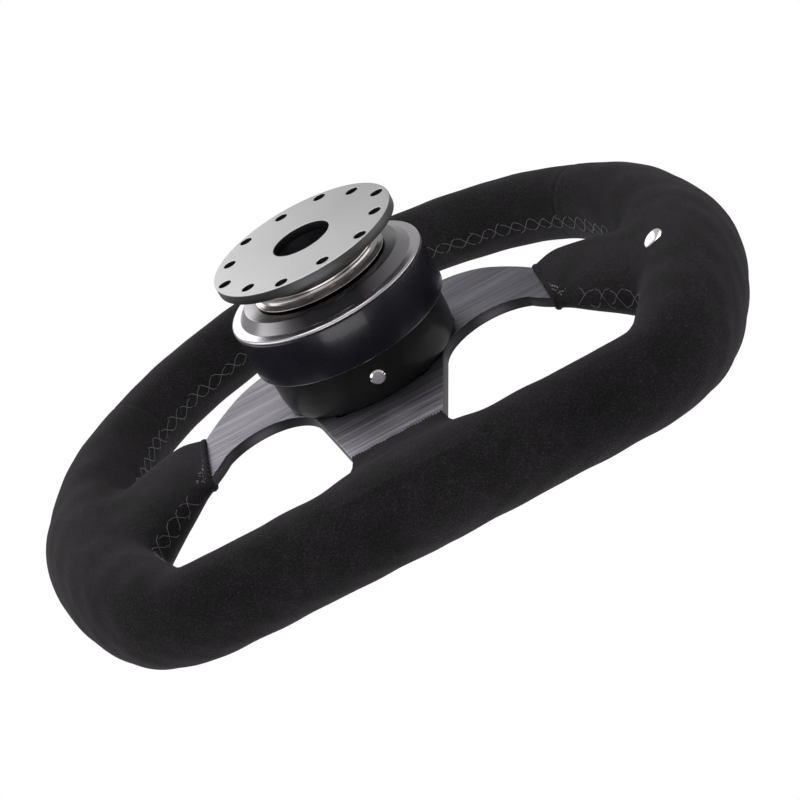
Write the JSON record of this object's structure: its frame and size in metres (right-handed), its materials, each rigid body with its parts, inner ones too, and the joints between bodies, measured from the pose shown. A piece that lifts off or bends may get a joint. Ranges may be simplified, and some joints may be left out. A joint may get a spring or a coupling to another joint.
{
  "type": "quick release steering wheel",
  "caption": "Flat-bottomed suede steering wheel on a splined ball-lock quick release hub, with release collar, column flange and horn button.",
  "frame": {"origin": "centre of the two bolt circles on the column flange's mounting face", "axes": "+Y out of the mounting face toward the steering column, -Y toward the driver, +Z toward twelve o'clock on the wheel, +X to the driver's right"},
  "size_m": [0.3226, 0.0951, 0.2713],
  "materials": {
    "flange_alu": "machined, fine satin, dark anodised edge",
    "dark_chrome": "turned, dark smoked chrome",
    "hardened_steel": "ground and hardened",
    "black_anodised": "gloss black anodised",
    "bright_steel": "polished",
    "spring_steel": "drawn wire",
    "black_oxide": "black oxide",
    "plate_alu": "brushed, gunmetal anodised",
    "foam": "moulded polyurethane foam, skinned",
    "suede": "black suede, fine nap",
    "black_plastic": "fine moulded grain",
    "brass": "plain",
    "nylon": "natural nylon"
  },
  "bodies": {
    "column": {"column_flange": "flange_alu", "flange_neck": "dark_chrome", "splined_spigot": "hardened_steel", "contact_insulator": "nylon", "column_contact": "brass"},
    "wheel": {"quick_release_housing": "black_anodised", "spline_socket": "hardened_steel", "ball_cage": "hardened_steel", "snap_ring": "spring_steel", "button_bush": "black_plastic", "horn_ring": "black_anodised", "horn_cup": "black_plastic", "horn_bezel": "black_anodised", "horn_fixed_contact": "brass", "contact_carrier": "nylon", "wheel_contact": "brass", "cage_screws": "black_oxide", "wheel_screws": "black_oxide", "ring_screws": "black_oxide", "horn_terminals": "brass", "spoke_plate": "plate_alu", "rim_foam": "foam", "cover_top": "suede", "cover_right": "suede", "cover_left": "suede", "cover_base": "suede", "thumb_pad_right": "foam", "thumb_pad_left": "foam", "base_pad": "foam", "cover_rivet": "bright_steel", "collar_spring": "spring_steel", "button_spring": "spring_steel", "horn_spring": "spring_steel"},
    "collar": {"release_collar": "black_anodised", "collar_cap": "dark_chrome", "cam_ring": "hardened_steel"},
    "lock_button": {"lock_button": "bright_steel"},
    "horn_button": {"horn_cap": "black_plastic", "horn_moving_contact": "brass"},
    "ball_1": {"locking_ball_1": "bright_steel"},
    "ball_2": {"locking_ball_2": "bright_steel"},
    "ball_3": {"locking_ball_3": "bright_steel"},
    "ball_4": {"locking_ball_4": "bright_steel"},
    "ball_5": {"locking_ball_5": "bright_steel"},
    "ball_6": {"locking_ball_6": "bright_steel"}
  },
  "joints": [
    {"name": "wheel_pull_off", "type": "slide", "parent": "column", "child": "wheel", "axis": [0, -1, 0], "range_m": [0, 0.06]},
    {"name": "collar_pull", "type": "slide", "parent": "wheel", "child": "collar", "axis": [0, -1, 0], "range_m": [0, 0.005], "stiffness_N_per_m": 1500, "springref_m": -0.003, "deforming": ["collar_spring"]},
    {"name": "lock_button_press", "type": "slide", "parent": "wheel", "child": "lock_button", "axis": [0, 0, 1], "range_m": [0, 0.0025], "stiffness_N_per_m": 1200, "springref_m": -0.002, "deforming": ["button_spring"]},
    {"name": "horn_button_press", "type": "slide", "parent": "wheel", "child": "horn_button", "axis": [0, 1, 0], "range_m": [0, 0.002], "stiffness_N_per_m": 900, "springref_m": -0.002, "deforming": ["horn_spring"]},
    {"name": "ball_release_1", "type": "slide", "parent": "wheel", "child": "ball_1", "axis": [0, 0, 1], "range_m": [0, 0.002]},
    {"name": "ball_release_2", "type": "slide", "parent": "wheel", "child": "ball_2", "axis": [-0.866, 0, 0.5], "range_m": [0, 0.002]},
    {"name": "ball_release_3", "type": "slide", "parent": "wheel", "child": "ball_3", "axis": [-0.866, 0, -0.5], "range_m": [0, 0.002]},
    {"name": "ball_release_4", "type": "slide", "parent": "wheel", "child": "ball_4", "axis": [0, 0, -1], "range_m": [0, 0.002]},
    {"name": "ball_release_5", "type": "slide", "parent": "wheel", "child": "ball_5", "axis": [0.866, 0, -0.5], "range_m": [0, 0.002]},
    {"name": "ball_release_6", "type": "slide", "parent": "wheel", "child": "ball_6", "axis": [0.866, 0, 0.5], "range_m": [0, 0.002]}
  ],
  "couplings": [
    {"joint": "ball_release_1", "follows": "collar_pull", "ratio": 0.4},
    {"joint": "ball_release_2", "follows": "collar_pull", "ratio": 0.4},
    {"joint": "ball_release_3", "follows": "collar_pull", "ratio": 0.4},
    {"joint": "ball_release_4", "follows": "collar_pull", "ratio": 0.4},
    {"joint": "ball_release_5", "follows": "collar_pull", "ratio": 0.4},
    {"joint": "ball_release_6", "follows": "collar_pull", "ratio": 0.4}
  ]
}
